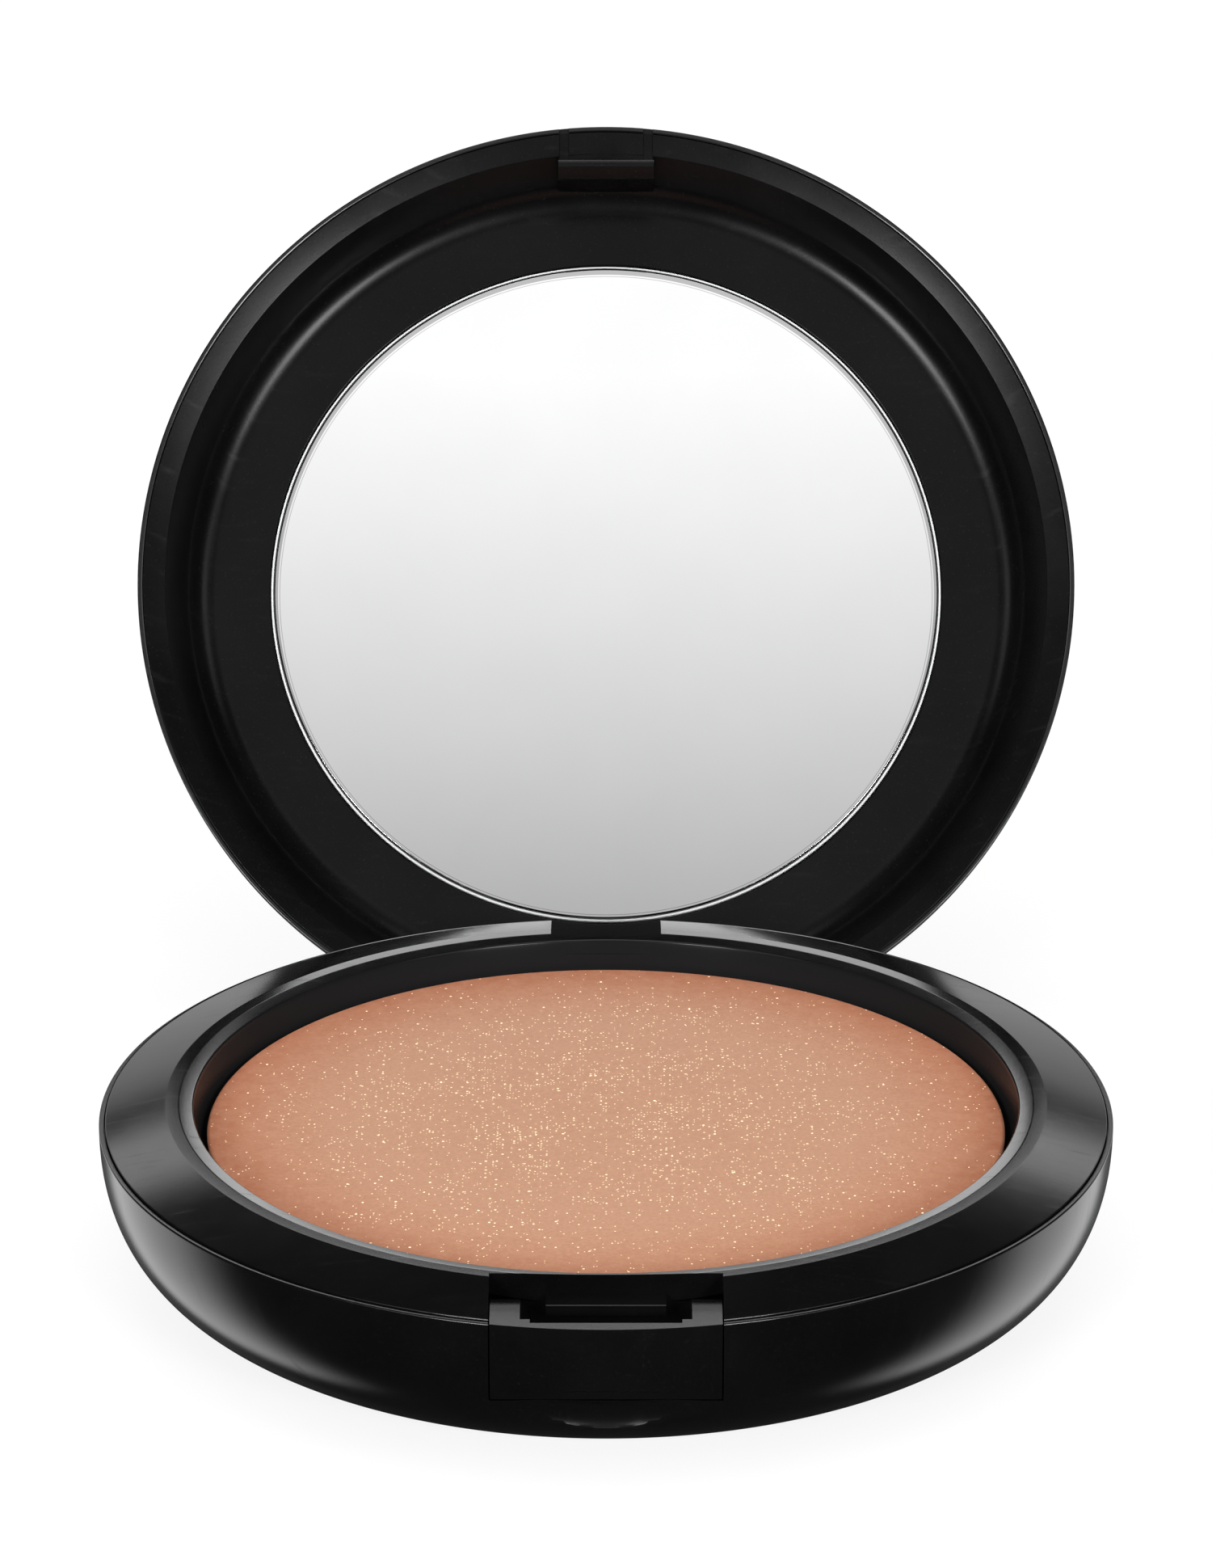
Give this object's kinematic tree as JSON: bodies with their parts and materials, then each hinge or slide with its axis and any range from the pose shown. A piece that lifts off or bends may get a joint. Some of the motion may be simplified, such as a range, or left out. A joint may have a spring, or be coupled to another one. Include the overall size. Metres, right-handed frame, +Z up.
{
  "type": "powder compact",
  "caption": "Round black powder compact, open: bowl-shaped base with pressed powder and a front push button, domed lid with a round mirror on a concealed hinge.",
  "frame": {"origin": "centre of the base's flat foot, on the surface it stands on", "axes": "+Z up, +Y from the push button to the hinge, +X to the right seen from the button"},
  "size_m": [0.075, 0.1158, 0.0665],
  "materials": {
    "shell_plastic": "satin",
    "frame_plastic": "satin",
    "button_plastic": "satin",
    "powder": "matte",
    "pan_metal": "satin",
    "adhesive": "matte",
    "label_paper": "matte",
    "steel": "polished",
    "mirror_glass": "polished"
  },
  "bodies": {
    "base": {"base_shell": "shell_plastic", "base_frame": "frame_plastic", "powder_pan": "pan_metal", "powder_cake": "powder", "pan_glue": "adhesive", "base_label": "label_paper", "button_springs": "steel", "hinge_pin": "steel"},
    "button": {"push_button": "button_plastic"},
    "lid": {"lid_shell": "shell_plastic", "lid_frame": "frame_plastic", "mirror": "mirror_glass", "mirror_glue": "adhesive"}
  },
  "joints": [
    {"name": "lid_hinge", "type": "hinge", "parent": "base", "child": "lid", "pos_m": [0, 0.0335, 0.0084], "axis": [1, 0, 0], "range_deg": [0, 121.8]},
    {"name": "button_press", "type": "slide", "parent": "base", "child": "button", "axis": [0, 1, 0], "range_m": [0, 0.0012], "stiffness_N_per_m": 600, "springref_m": -0.001, "deforming": ["button_springs"]}
  ]
}
